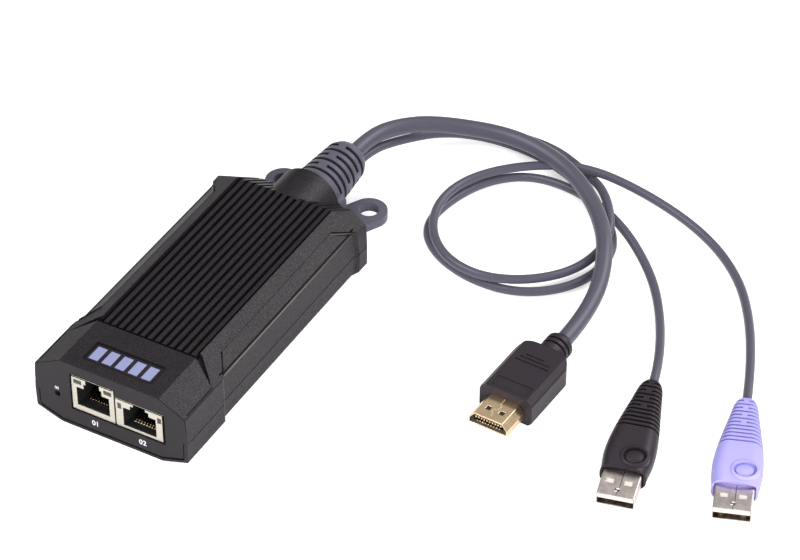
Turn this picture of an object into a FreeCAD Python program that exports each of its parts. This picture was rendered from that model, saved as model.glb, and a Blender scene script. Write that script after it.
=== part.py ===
# A network console dongle: a two-shell plastic housing with two network sockets
# in its front, and three captive cords with plugs that leave a soft strain relief.
# Millimetres, +X to the right of the socket face, +Y to the back, +Z up.
# The origin is on the surface it rests on, under the middle of the housing with
# its strain relief.
import FreeCAD, Part
import math
import os

os.makedirs("parts", exist_ok=True)
vec = FreeCAD.Vector
axis_x = vec(1, 0, 0)
axis_y = vec(0, 1, 0)
axis_z = vec(0, 0, 1)

# Housing: lengths along Y from the socket face, heights from the base
body_length = 119.0
relief_length = 28.0
base_half = 18.5
wide_half = 28.1
low_lean = 0.2
low_half = wide_half - low_lean
low_z = 3.25
seam_z = 10.6
shoulder_lean = 0.6
shoulder_half = wide_half - shoulder_lean
shoulder_z = 20.5
ridge_half = 18.2
top_z = 25.5
wall = 1.8
seam_gap = 0.3
seam_line_depth = 0.4
seam_line_height = 0.3
corner_length = 9.0
corner_half = 17.5
slope_length = 12.9
slope_drop = 8.7

# Rib field on the roof
rib_count = 13
rib_pitch = 2.69
rib_width = 1.42
rib_sink = 0.8
groove_depth = 1.9
panel_length = 21.75
panel_gap = 1.55
field_half = 18.0
roof_wall = 1.4

# Waist: the sides and the outer part of the sloping facets step in
waist_depth = 0.9
waist_band = 5.3
waist_inner = shoulder_half - waist_band
waist_front_in = 30.2
waist_front_out = 22.4
waist_rear_in = 97.5
waist_rear_out = 105.0
notch_stop = 0.9
notch_reach = shoulder_half - notch_stop
notch_front = 17.0
notch_depth = 1.7
lip_width = 0.4
lip_groove = 0.35
lip_depth = 0.3

# Badge recess in the smooth part of the roof
badge_width = 25.6
badge_depth_y = 9.3
badge_front = 4.4
badge_sink = 0.5
badge_round = 1.2

# Front panel, part of the upper shell, framed by the rim of the lower one
panel_wall = 2.0
rim_wall = 1.3
reset_x = -19.75
reset_z = 11.2
reset_hole = 2.1

# Circuit board
board_side_gap = 1.2
board_half = wide_half - wall - waist_depth - board_side_gap
board_front = 2.6
board_back = 110.0
board_bottom = 5.8
board_wall = 1.6
board_top = board_bottom + board_wall

# Housing screws, driven from below through the board
screw_x = 17.6
screw_front = 31.0
screw_back = 98.0
boss_width = 6.0
screw_hole = 2.9
screw_width = 2.4
pilot_clearance = 0.1
head_width = 4.6
head_height = 1.7
head_recess = 5.2
head_seat = 2.3
screw_reach = 13.0

# Network sockets: middle, width and top of each shield, and its openings
jack_front = 0.45
jack_depth = 21.3
plug_depth = 13.0
shield_wall = 0.4
cutout_gap = 0.35
cutout_top_gap = 0.75
contact_count = 8
contact_pitch = 1.016
contact_width = 0.45
contact_front = 4.0
contact_length = 7.5
contact_rise = 1.9
left_jack = dict(middle=-6.6, width=15.6, top=21.0, plug_half=6.0, floor=9.4, ceiling=16.8,
                 step_half=3.35, step_top=18.75, latch_half=2.55, latch_top=20.5,
                 light_middle=5.55, light_width=2.9, light_bottom=18.0, light_top=19.7)
right_jack = dict(middle=10.45, width=17.4, top=18.7, plug_half=6.0, floor=8.35, ceiling=15.7,
                  step_half=3.4, step_top=17.25, latch_half=2.2, latch_top=18.2,
                  light_middle=7.3, light_width=1.4, light_bottom=14.6, light_top=16.9)

# Reset switch on the board behind its pinhole
switch_width = 6.0
switch_depth = 3.6
switch_front = 5.6
switch_height = 7.0
button_width = 3.2
button_clearance = 0.3
button_reach = 1.6
button_travel = 0.25
button_room = 0.35

# Cable hood of the upper shell, and the soft strain relief in it
hood_half = 11.4
hood_z = 13.3
hood_start = body_length - slope_length
hood_reach = 2.0
relief_z = 12.4
relief_start = 113.9
relief_clearance = 0.2
relief_root = 10.2
relief_neck = 8.9
relief_tip = 7.6
relief_end = 6.6
neck_reach = 9.5
tip_reach = 25.8
slot_count = 6
slot_pitch = 3.25
slot_first = 7.7
slot_width = 1.45
slot_depth = 2.0
slot_bridge = 20.0
pedestal_half = 12.0
pedestal_reach = 6.0
pedestal_top = 15.6
pedestal_bottom = 2.5
flange_half = 15.0
flange_wall = 2.2
ear_x = 16.7
ear_reach = 12.8
ear_round = 6.3
ear_hole = 3.4
ear_bottom = 3.6
ear_wall = 3.3
ear_slant = 28.8

# Wire headers on the board
header_middle = 90.0
header_depth = 6.0
header_height = 3.2

# Cords
video_cord_width = 5.6
data_cord_width = 3.1
cord_arc_share = 0.45

# Plugs: where the tip of each lies on the surface, and how far it is turned
video_plug = dict(x=100.75, y=-14.05, turn=-3.0, middle=5.0, lift=0.0, tilt=0.0)
black_plug = dict(x=150.5, y=-24.95, turn=13.7, middle=4.9, lift=-0.65, tilt=2.0)
violet_plug = dict(x=184.45, y=-14.35, turn=19.8, middle=4.9, lift=0.8, tilt=-2.0)

# Video plug
video_shell_width = 13.9
video_shell_height = 4.45
video_shell_wall = 0.35
video_shell_side = 2.2
video_shell_top = 10.2
video_exposed = 10.7
video_grip_end = 36.6
video_plug_end = 46.0
video_grip_width = 19.0
video_grip_height = 10.0
video_neck = 4.7
video_pin_pitch = 1.0
plug_seat = 3.2

# Data plugs
data_shell_width = 12.0
data_shell_height = 4.5
data_shell_wall = 0.3
data_exposed = 10.6
data_plug_end = 53.0
data_middle_z = 4.9
data_tongue = 1.95
groove_count = 12
groove_pitch = 1.945

front_y = -(body_length + relief_length) / 2
rear_y = front_y + body_length
tip_y = rear_y + relief_length
big = 400.0


def along(length):
    """Y of a place that lies this far behind the socket face."""
    return front_y + length


def box(x0, x1, y0, y1, z0, z1):
    return Part.makeBox(x1 - x0, y1 - y0, z1 - z0, vec(x0, y0, z0))


def face_of(points):
    return Part.Face(Part.makePolygon(points + points[:1]))


def prism_x(outline, x0, x1):
    """Outline in Y and Z, drawn out along X."""
    return face_of([vec(x0, y, z) for y, z in outline]).extrude(vec(x1 - x0, 0, 0))


def prism_y(outline, y0, y1):
    """Outline in X and Z, drawn out along Y."""
    return face_of([vec(x, y0, z) for x, z in outline]).extrude(vec(0, y1 - y0, 0))


def prism_z(outline, z0, z1):
    """Outline in X and Y, drawn out along Z."""
    return face_of([vec(x, y, z0) for x, y in outline]).extrude(vec(0, 0, z1 - z0))


def rod_x(radius, x0, x1, y, z):
    return Part.makeCylinder(radius, x1 - x0, vec(x0, y, z), axis_x)


def rod_y(radius, x, z, y0, y1):
    return Part.makeCylinder(radius, y1 - y0, vec(x, y0, z), axis_y)


def rod_z(radius, x, y, z0, z1):
    return Part.makeCylinder(radius, z1 - z0, vec(x, y, z0), axis_z)


def mirrored(shape):
    return shape.mirror(vec(0, 0, 0), axis_x)


def both_sides(shape):
    return [shape, mirrored(shape)]


def fuse_all(shapes):
    return shapes[0].multiFuse(shapes[1:]).removeSplitter()


def cut_all(shape, tools):
    return shape.cut(Part.makeCompound(tools)).removeSplitter()


def export(name, shape):
    shape.exportStep("parts/" + name + ".step")


def inset_outline(outline, depth):
    """A convex outline, counter-clockwise, with every side moved in by depth."""
    moved = []
    count = len(outline)
    for i in range(count):
        ax, az = outline[i - 1]
        bx, bz = outline[i]
        cx, cz = outline[(i + 1) % count]
        first = math.atan2(bz - az, bx - ax)
        second = math.atan2(cz - bz, cx - bx)
        half_turn = (second - first) / 2
        reach = depth / math.cos(half_turn)
        angle = first + half_turn + math.pi / 2
        moved.append((bx + reach * math.cos(angle), bz + reach * math.sin(angle)))
    return moved


def housing_section():
    """The eight-sided section of the housing, in X and Z."""
    right = [(base_half, 0), (low_half, low_z), (wide_half, seam_z),
             (shoulder_half, shoulder_z), (ridge_half, top_z)]
    left = [(-x, z) for x, z in reversed(right)]
    return right + left


def housing_plan(inset):
    """Plan of the housing with its two rear corners cut off, in X and Y."""
    side = wide_half + 1 - inset
    slant = inset * 0.8
    right = [(side, front_y - 1), (side, rear_y - corner_length - slant),
             (corner_half - slant, rear_y - inset)]
    left = [(-x, y) for x, y in reversed(right)]
    return right + left


def rear_slope(inset):
    """Everything above the roof line that falls to the rear wall, from the side."""
    crown = top_z - rib_sink - inset
    start = rear_y - slope_length
    fall = slope_drop / slope_length
    end = rear_y + 20
    return [(start, crown), (end, crown - fall * (end - start)),
            (end, top_z + 30), (start, top_z + 30)]


def corner_facet(inset):
    """The block above the slanting facet at the right rear corner."""
    normal = vec(38, 88, 125)
    normal.normalize()
    touch = vec(ridge_half - 0.2, rear_y - slope_length - 0.1, top_z - 0.5)
    touch = touch - normal * inset
    block = Part.makeBox(big, big, big, vec(-big / 2, -big / 2, 0))
    block.Placement = FreeCAD.Placement(touch, FreeCAD.Rotation(axis_z, normal))
    return block


def housing_outside(inset):
    """The housing as one block, with every face moved in by inset."""
    section = housing_section()
    if inset > 0:
        section = inset_outline(section, inset)
    block = prism_y(section, front_y + inset, rear_y - inset)
    block = block.common(prism_z(housing_plan(inset), -1, top_z + 1))
    facet = corner_facet(inset)
    field = field_half + inset
    return cut_all(block, both_sides(facet) + [prism_x(rear_slope(inset), -field, field)])


def surface_cut(plan, depth):
    """What lies within depth of the housing's surface, over a stretch of plan."""
    core = prism_y(inset_outline(housing_section(), depth), front_y - 5, rear_y + 5)
    return prism_z(plan, -2, top_z + 2).cut(core)


def waist_section(depth):
    """The section inside the waist: sunk at the sides, and fading out up the facets."""
    sunk = inset_outline(housing_section(), depth)[:4]
    share = (shoulder_half - waist_inner) / (shoulder_half - ridge_half)
    fade = (waist_inner, shoulder_z + (top_z - shoulder_z) * share)
    right = sunk + [fade, (ridge_half, top_z)]
    return right + [(-x, z) for x, z in reversed(right)]


def waist_cut(depth):
    """The waist of one side, sunk this deep below the shoulder."""
    outer = wide_half + 4
    slope_front = (waist_front_in - waist_front_out) / (shoulder_half - waist_inner)
    slope_rear = (waist_rear_out - waist_rear_in) / (shoulder_half - waist_inner)
    reach = shoulder_half - waist_inner + 0.9
    plan = [(waist_inner, along(waist_front_in)),
            (waist_inner + reach, along(waist_front_in - slope_front * reach)),
            (outer, along(waist_front_in - slope_front * reach)),
            (outer, along(waist_rear_in + slope_rear * reach)),
            (waist_inner + reach, along(waist_rear_in + slope_rear * reach)),
            (waist_inner, along(waist_rear_in))]
    core = prism_y(waist_section(depth), front_y - 5, rear_y + 5)
    return prism_z(plan, -2, top_z + 2).cut(core)


def seam_line():
    """The fine shadow line between the shells, cut into the foot of the upper one."""
    core = housing_outside(seam_line_depth)
    core = cut_all(core, both_sides(waist_cut(waist_depth + seam_line_depth)))
    slab = box(-big / 2, big / 2, along(panel_wall), rear_y + 1, seam_z - 1, seam_z + seam_line_height)
    return slab.cut(core)


def lip_cut(sink, start, end):
    """The fine groove inside the shoulder, along a stretch whose surface is sunk by sink."""
    corner = inset_outline(housing_section(), sink)[3][0]
    outer = corner - lip_width
    plan = [(outer - lip_groove, along(start)), (outer, along(start)),
            (outer, along(end)), (outer - lip_groove, along(end))]
    above = box(-big / 2, big / 2, front_y - 5, rear_y + 5, seam_z, big)
    return surface_cut(plan, sink + lip_depth).common(above)


def facet_notch():
    """The wedge between the smooth front of the facet and its ribbed part."""
    plan = [(ridge_half - 1.0, along(panel_length)), (ridge_half - 0.1, along(panel_length)),
            (notch_reach, along(notch_front)), (ridge_half + 0.7, along(panel_length + 2.4)),
            (ridge_half - 1.0, along(panel_length + 2.4))]
    return surface_cut(plan, notch_depth)


def rib_field():
    """The sunk field on the roof, and its grooves, which run down the rear slope."""
    start = along(panel_length)
    crown = top_z - rib_sink
    bend = rear_y - slope_length
    fall = slope_drop / slope_length
    end = rear_y + 5
    field = prism_x([(start + panel_gap, crown), (bend, crown), (end, crown - fall * (end - bend)),
                     (end, top_z + 5), (start + panel_gap, top_z + 5)], -field_half, field_half)
    deep = crown - groove_depth
    deep_bend = bend - groove_depth * 0.3
    deep_end = deep - fall * (end - deep_bend)
    gap = box(-field_half, field_half, start, start + panel_gap, deep, top_z + 5)
    tools = [field, gap]
    half_span = (rib_count - 1) / 2 * rib_pitch + rib_width / 2
    groove_outline = [(start, deep), (deep_bend, deep), (end, deep_end), (end, top_z), (start, top_z)]
    edges = [-field_half]
    for k in range(rib_count):
        left = -half_span + k * rib_pitch
        edges.extend([left, left + rib_width])
    edges.append(field_half)
    for k in range(rib_count + 1):
        tools.append(prism_x(groove_outline, edges[2 * k], edges[2 * k + 1]))
    return tools


def rounded_plate(x0, x1, y0, y1, z0, z1, radius):
    plate = box(x0, x1, y0, y1, z0, z1)
    upright = [e for e in plate.Edges if abs(e.tangentAt(e.FirstParameter).z) > 0.9]
    return plate.makeFillet(radius, upright)


def badge_recess():
    half = badge_width / 2
    return rounded_plate(-half, half, along(badge_front), along(badge_front + badge_depth_y),
                         top_z - badge_sink, top_z + 1, badge_round)


def housing_cavity():
    """The room inside both shells."""
    inside = housing_outside(wall + waist_depth)
    ceiling = top_z - rib_sink - groove_depth - roof_wall
    slope_room = rear_slope(groove_depth + roof_wall)
    lid = box(-big / 2, big / 2, -big / 2, big / 2, ceiling, big)
    front = box(-big / 2, big / 2, front_y - 5, along(panel_wall), -5, big)
    return cut_all(inside, [lid, front, prism_x(slope_room, -big / 2, big / 2)])


def hood(radius_loss, y0, y1):
    """The arch over the cords: a half round roof on upright sides."""
    radius = hood_half - radius_loss
    arch = rod_y(radius, 0, hood_z, y0, y1)
    return arch.fuse(box(-radius, radius, y0, y1, seam_z, hood_z))


def relief_bore():
    """The way out for the strain relief through both shells."""
    radius = relief_root + relief_clearance
    y0 = along(relief_start) - relief_clearance
    return rod_y(radius, 0, relief_z, y0, rear_y + hood_reach + 1)


def screw_places():
    return [(side * screw_x, along(y)) for y in (screw_front, screw_back) for side in (-1, 1)]


def upper_shell():
    block = housing_outside(0)
    block = cut_all(block, both_sides(waist_cut(waist_depth)) + both_sides(facet_notch())
                    + both_sides(lip_cut(0, 0, notch_front))
                    + both_sides(lip_cut(waist_depth, waist_front_out, waist_rear_out))
                    + rib_field() + [badge_recess()])
    lower_half = box(-big / 2, big / 2, -big / 2, big / 2, -5, seam_z)
    shell = cut_all(block, [lower_half, housing_cavity()])
    roof = hood(0, along(hood_start), rear_y + hood_reach)
    shell = shell.fuse(roof.cut(lower_half)).cut(hood_room())
    shell = shell.fuse(front_panel()).cut(jack_cutout())
    ceiling = top_z - rib_sink - groove_depth
    bosses = [rod_z(boss_width / 2, x, y, board_top, ceiling) for x, y in screw_places()]
    pilot = (screw_width + pilot_clearance) / 2
    pilots = [rod_z(pilot, x, y, board_top - 1, screw_reach + 0.5) for x, y in screw_places()]
    reset_bore = rod_y(reset_hole / 2, reset_x, reset_z, front_y - 1, along(panel_wall + 1))
    shell = shell.multiFuse(bosses)
    return cut_all(shell, pilots + [relief_bore(), reset_bore, seam_line()])


def hood_room():
    """Room under the hood for the leads, ahead of the strain relief."""
    depth = wall + waist_depth
    ceiling = rear_slope(groove_depth + roof_wall)
    room = box(-hood_half + depth, hood_half - depth, along(hood_start), along(relief_start),
               seam_z - 1, top_z)
    return room.cut(prism_x(ceiling, -big / 2, big / 2))


def front_panel():
    """The plate that holds the sockets. Its lower half fits inside the lower shell's rim."""
    inner = inset_outline(housing_section(), rim_wall + seam_gap)
    plate = prism_y(inner, front_y, along(panel_wall))
    collar = prism_y(housing_section(), front_y, along(panel_wall))
    collar = collar.common(box(-big / 2, big / 2, front_y - 5, rear_y, seam_z, top_z))
    return plate.fuse(collar)


def jack_edge(jack, side):
    return jack["middle"] + side * jack["width"] / 2


def jack_cutout():
    """One stepped window round both sockets."""
    left = jack_edge(left_jack, -1) - cutout_gap
    step = jack_edge(left_jack, 1) + cutout_top_gap
    right = jack_edge(right_jack, 1) + cutout_top_gap
    bottom = board_top - cutout_gap
    high = left_jack["top"] + cutout_top_gap
    low = right_jack["top"] + cutout_top_gap
    outline = [(left, bottom), (right, bottom), (right, low), (step, low), (step, high), (left, high)]
    return prism_y(outline, front_y - 1, along(panel_wall + 1))


def lower_shell():
    block = housing_outside(0)
    block = cut_all(block, both_sides(waist_cut(waist_depth)))
    upper_half = box(-big / 2, big / 2, -big / 2, big / 2, seam_z, big)
    room = housing_cavity()
    mouth = prism_y(inset_outline(housing_section(), rim_wall), front_y - 1, along(panel_wall + 1))
    shell = cut_all(block, [upper_half, room, mouth])
    floor = wall + waist_depth
    bosses = [rod_z(boss_width / 2, x, y, floor / 2, board_bottom) for x, y in screw_places()]
    shell = shell.multiFuse(bosses)
    holes = [rod_z(screw_hole / 2, x, y, -1, board_bottom + 1) for x, y in screw_places()]
    recesses = [rod_z(head_recess / 2, x, y, -1, head_seat) for x, y in screw_places()]
    return cut_all(shell, holes + recesses + [relief_bore()])


def relief_radius(reach):
    """Radius of the strain relief, this far behind the rear wall."""
    if reach <= neck_reach:
        share = reach / neck_reach
        return relief_root + (relief_neck - relief_root) * share
    share = (reach - neck_reach) / (tip_reach - neck_reach)
    return relief_neck + (relief_tip - relief_neck) * share


def relief_slot(reach, start, sweep):
    """One slot round part of the strain relief, from an angle off its top, clockwise."""
    y0 = rear_y + reach - slot_width / 2
    outer = Part.makeCylinder(relief_radius(reach) + 1, slot_width, vec(0, 0, 0), axis_z, sweep)
    inner = Part.makeCylinder(relief_radius(reach) - slot_depth, slot_width + 2, vec(0, 0, -1), axis_z)
    ring = outer.cut(inner)
    ring.rotate(vec(0, 0, 0), axis_x, -90)
    ring.rotate(vec(0, 0, 0), axis_y, start - 90)
    ring.translate(vec(0, y0, relief_z))
    return ring


def ear():
    """A flat eye on a tab that slants in to the pedestal, behind the rear wall."""
    slant = math.radians(ear_slant)
    inward = vec(-math.sin(slant), -math.cos(slant), 0) * 2 * ear_reach
    across = vec(-math.cos(slant), math.sin(slant), 0) * ear_round
    middle = vec(ear_x, rear_y + ear_reach, 0)
    corners = [middle + across, middle + across + inward, middle - across + inward, middle - across]
    top = ear_bottom + ear_wall
    tab = prism_z([(corner.x, corner.y) for corner in corners], ear_bottom, top)
    ring = rod_z(ear_round, middle.x, middle.y, ear_bottom, top)
    hole = rod_z(ear_hole, middle.x, middle.y, ear_bottom - 1, top + 1)
    room = box(0, ear_x + ear_round, rear_y + relief_clearance, tip_y, 0, seam_z)
    return tab.fuse(ring).cut(hole).removeSplitter().common(room)


def strain_relief():
    y0 = along(relief_start)
    profile = [vec(0, y0, relief_z), vec(0, y0, relief_z + relief_root),
               vec(0, rear_y, relief_z + relief_root),
               vec(0, rear_y + neck_reach, relief_z + relief_neck),
               vec(0, rear_y + tip_reach, relief_z + relief_tip),
               vec(0, tip_y, relief_z + relief_end), vec(0, tip_y, relief_z)]
    tube = face_of(profile).revolve(vec(0, 0, relief_z), axis_y, 360)
    top = box(-pedestal_half, pedestal_half, rear_y + hood_reach + relief_clearance,
              rear_y + pedestal_reach, pedestal_bottom, pedestal_top)
    lengthwise = [e for e in top.Edges if abs(e.tangentAt(e.FirstParameter).y) > 0.9]
    top = top.makeFillet(2.4, lengthwise)
    low = box(-pedestal_half, pedestal_half, rear_y + relief_clearance,
              rear_y + hood_reach + relief_clearance + 1, pedestal_bottom + 2.4, seam_z - 0.4)
    flange = box(-flange_half, flange_half, y0, y0 + flange_wall, ear_bottom, seam_z - 0.6)
    body = fuse_all([tube, top, low, flange] + both_sides(ear()))
    slots = []
    for k in range(slot_count):
        reach = slot_first + k * slot_pitch
        gap = slot_bridge
        if k % 2 == 0:
            slots.append(relief_slot(reach, -90 + gap / 2, 180 - gap))
            slots.append(relief_slot(reach, 90 + gap / 2, 180 - gap))
        else:
            slots.append(relief_slot(reach, gap / 2, 180 - gap))
            slots.append(relief_slot(reach, 180 + gap / 2, 180 - gap))
    return cut_all(body, slots)


def board():
    plate = box(-board_half, board_half, along(board_front), along(board_back), board_bottom, board_top)
    corner = 6.0
    corners = [e for e in plate.Edges if abs(e.tangentAt(e.FirstParameter).z) > 0.9
               and e.Vertexes[0].Point.y > 0]
    plate = plate.makeChamfer(corner, corners)
    holes = [rod_z(screw_hole / 2, x, y, 0, 20) for x, y in screw_places()]
    return cut_all(plate, holes)


def opening_outline(jack, grow):
    """The way in for the plug and its latch, in X and Z."""
    right = [(jack["plug_half"] + grow, jack["floor"] - grow),
             (jack["plug_half"] + grow, jack["ceiling"]), (jack["step_half"], jack["ceiling"]),
             (jack["step_half"], jack["step_top"]), (jack["latch_half"], jack["step_top"]),
             (jack["latch_half"], jack["latch_top"])]
    left = [(-x, z) for x, z in reversed(right)]
    return [(x + jack["middle"], z) for x, z in right + left]


def light_box(jack, side, y0, y1, shrink):
    middle = jack["middle"] + side * jack["light_middle"]
    half = jack["light_width"] / 2 - shrink
    return box(middle - half, middle + half, y0, y1, jack["light_bottom"] + shrink,
               jack["light_top"] - shrink)


def jack_shield(jack):
    """Folded sheet round the socket, open below and cut out in front."""
    y0 = along(jack_front)
    y1 = y0 + jack_depth
    outer = box(jack_edge(jack, -1), jack_edge(jack, 1), y0, y1, board_top, jack["top"])
    room = box(jack_edge(jack, -1) + shield_wall, jack_edge(jack, 1) - shield_wall, y0 + shield_wall,
               y1 - shield_wall, board_top - 1, jack["top"] - shield_wall)
    way_in = prism_y(opening_outline(jack, 0), y0 - 1, y0 + 1)
    windows = [light_box(jack, side, y0 - 1, y0 + 1, 0) for side in (-1, 1)]
    return cut_all(outer, [room, way_in] + windows)


def jack_insert(jack):
    """The moulded block inside the shield, hollow for the plug."""
    y0 = along(jack_front) + shield_wall
    y1 = along(jack_front) + jack_depth - shield_wall
    block = box(jack_edge(jack, -1) + shield_wall, jack_edge(jack, 1) - shield_wall, y0, y1,
                board_top, jack["top"] - shield_wall)
    hollow = prism_y(opening_outline(jack, 0), y0 - 1, y0 + plug_depth)
    lights = [light_box(jack, side, y0 - 1, y0 + plug_depth, 0) for side in (-1, 1)]
    return cut_all(block, [hollow] + lights)


def jack_lights(jack):
    """Two clear light guides behind the windows of the shield."""
    y0 = along(jack_front) + 0.15
    y1 = along(jack_front) + shield_wall + plug_depth
    return Part.makeCompound([light_box(jack, side, y0, y1, 0.05) for side in (-1, 1)])


def jack_contacts(jack):
    """Eight sprung wires that rise from the floor of the socket to its back."""
    y0 = along(contact_front)
    y1 = y0 + contact_length
    back = along(jack_front) + shield_wall + plug_depth
    z0 = jack["floor"] + 0.25
    z1 = z0 + contact_rise
    side_view = [(y0, z0), (y1, z1), (back, z1), (back, z1 + contact_width),
                 (y1 - 0.1, z1 + contact_width), (y0, z0 + contact_width)]
    half = contact_width / 2
    wires = []
    for k in range(contact_count):
        x = jack["middle"] + (k - (contact_count - 1) / 2) * contact_pitch
        wires.append(prism_x(side_view, x - half, x + half))
    return Part.makeCompound(wires)


def reset_switch_case():
    half = switch_width / 2
    y0 = along(switch_front)
    case = box(reset_x - half, reset_x + half, y0, y0 + switch_depth, board_top,
               board_top + switch_height)
    well = rod_y(button_width / 2 + button_clearance, reset_x, reset_z, y0 - 1,
                 y0 + button_reach + button_travel + button_room)
    return case.cut(well)


def reset_button():
    y0 = along(switch_front)
    stem = rod_y(button_width / 2, reset_x, reset_z, y0 - button_reach, y0 + button_reach)
    front = [e for e in stem.Edges if abs(e.CenterOfMass.y - (y0 - button_reach)) < 0.01
             and e.Curve.TypeId == "Part::GeomCircle"]
    return stem.makeChamfer(0.3, front)


def chip(x, length_y, width, depth, height):
    """A flat square package on the board, its middle at x and length_y."""
    y = along(length_y)
    body = box(x - width / 2, x + width / 2, y - depth / 2, y + depth / 2, board_top,
               board_top + height)
    top = [e for e in body.Edges if abs(e.CenterOfMass.z - board_top - height) < 0.01]
    return body.makeChamfer(min(0.3, height / 4), top)


def capacitors():
    cans = []
    for k in range(3):
        can = rod_z(2.5, 17.0, along(46 + 6.5 * k), board_top, board_top + 5.8)
        rim = [e for e in can.Edges if abs(e.CenterOfMass.z - board_top - 5.8) < 0.01
               and e.Curve.TypeId == "Part::GeomCircle"]
        cans.append(can.makeChamfer(0.4, rim))
    return Part.makeCompound(cans)


def housing_screws():
    screws = []
    for x, y in screw_places():
        head = rod_z(head_width / 2, x, y, head_seat - head_height, head_seat)
        cross = box(x - 1.3, x + 1.3, y - 0.3, y + 0.3, 0, head_seat - head_height + 0.9)
        cross = cross.fuse(box(x - 0.3, x + 0.3, y - 1.3, y + 1.3, 0, head_seat - head_height + 0.9))
        shank = rod_z(screw_width / 2, x, y, head_seat, screw_reach)
        screws.append(head.cut(cross).fuse(shank).removeSplitter())
    return Part.makeCompound(screws)


def cord_path(points):
    """Straight runs joined by tangent arcs, as large as the runs allow."""
    edges = []
    radii = []
    last = points[0]
    for before, corner, after in zip(points, points[1:], points[2:]):
        back = before - corner
        ahead = after - corner
        cut = cord_arc_share * min(back.Length, ahead.Length)
        back.normalize()
        ahead.normalize()
        turn = math.pi - back.getAngle(ahead)
        radius = cut / math.tan(turn / 2)
        radii.append(radius)
        start = corner + back * cut
        end = corner + ahead * cut
        inward = back + ahead
        inward.normalize()
        depth = math.hypot(radius, cut) - radius
        edges.append(Part.LineSegment(last, start).toShape())
        edges.append(Part.Arc(start, corner + inward * depth, end).toShape())
        last = end
    edges.append(Part.LineSegment(last, points[-1]).toShape())
    return Part.Wire(edges), radii


def cord(name, points, width):
    """A plain round tube along the route, with a printed check of its bends."""
    path, radii = cord_path(points)
    direction = points[1] - points[0]
    ring = Part.Wire(Part.makeCircle(width / 2, points[0], direction))
    tube = path.makePipeShell([ring], True, False)
    expected = math.pi * width * width / 4 * path.Length
    widths = ", ".join("%.1f" % (radius / width) for radius in radii)
    print(name, "length %.1f, volume share %.4f, bends in widths:" % (path.Length, tube.Volume / expected),
          widths)
    return tube


def placed(shape, plug):
    """A plug's piece, tilted about the middle of its tip, turned, and set down."""
    shape = shape.copy()
    shape.rotate(vec(0, 0, plug["middle"]), axis_x, plug["tilt"])
    shape.rotate(vec(0, 0, 0), axis_z, plug["turn"])
    shape.translate(vec(plug["x"], plug["y"], plug["lift"]))
    return shape


def plug_point(plug, reach):
    """A point on a plug's axis, this far behind its tip."""
    turn = math.radians(plug["turn"])
    tilt = math.radians(plug["tilt"])
    flat = reach * math.cos(tilt)
    return vec(plug["x"] - math.sin(turn) * flat, plug["y"] + math.cos(turn) * flat,
               plug["middle"] + plug["lift"] + reach * math.sin(tilt))


def video_shell_outline(inset):
    """Section of the video plug's shell: a box with its two upper corners sloped off."""
    z0 = (video_grip_height - video_shell_height) / 2
    z1 = z0 + video_shell_height
    half = video_shell_width / 2
    right = [(half, z0), (half, z0 + video_shell_side), (video_shell_top / 2, z1)]
    left = [(-x, z) for x, z in reversed(right)]
    outline = right + left
    if inset > 0:
        outline = inset_outline(outline, inset)
    return outline


def video_plug_shell():
    outer = prism_y(video_shell_outline(0), 0, video_exposed + plug_seat)
    inner = prism_y(video_shell_outline(video_shell_wall), -1, video_exposed + plug_seat + 1)
    top = video_grip_height
    holes = [box(x - 0.8, x + 0.8, 3.6, 5.3, top / 2, top) for x in (-2.4, 2.4)]
    return placed(cut_all(outer, [inner] + holes), video_plug)


def video_plug_insert():
    block = prism_y(video_shell_outline(video_shell_wall), 0.5, video_exposed + plug_seat)
    middle = video_grip_height / 2
    slot = box(-5.5, 5.5, -1, 8.0, middle - 0.75, middle + 0.75)
    return placed(cut_all(block, [slot] + video_pins(1)), video_plug)


def video_pins(side):
    """The row of contacts let into the upper (1) or the lower (-1) face of the plug's slot."""
    middle = video_grip_height / 2
    count = 10 if side == 1 else 9
    inner, outer = sorted([middle + side * 0.45, middle + side * (1.05 if side == 1 else 0.75)])
    pins = []
    for k in range(count):
        x = (k - (count - 1) / 2) * video_pin_pitch
        pins.append(box(x - 0.22, x + 0.22, 0.3, 7.5, inner, outer))
    return pins


def video_plug_contacts():
    return placed(Part.makeCompound(video_pins(1) + video_pins(-1)), video_plug)


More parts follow.
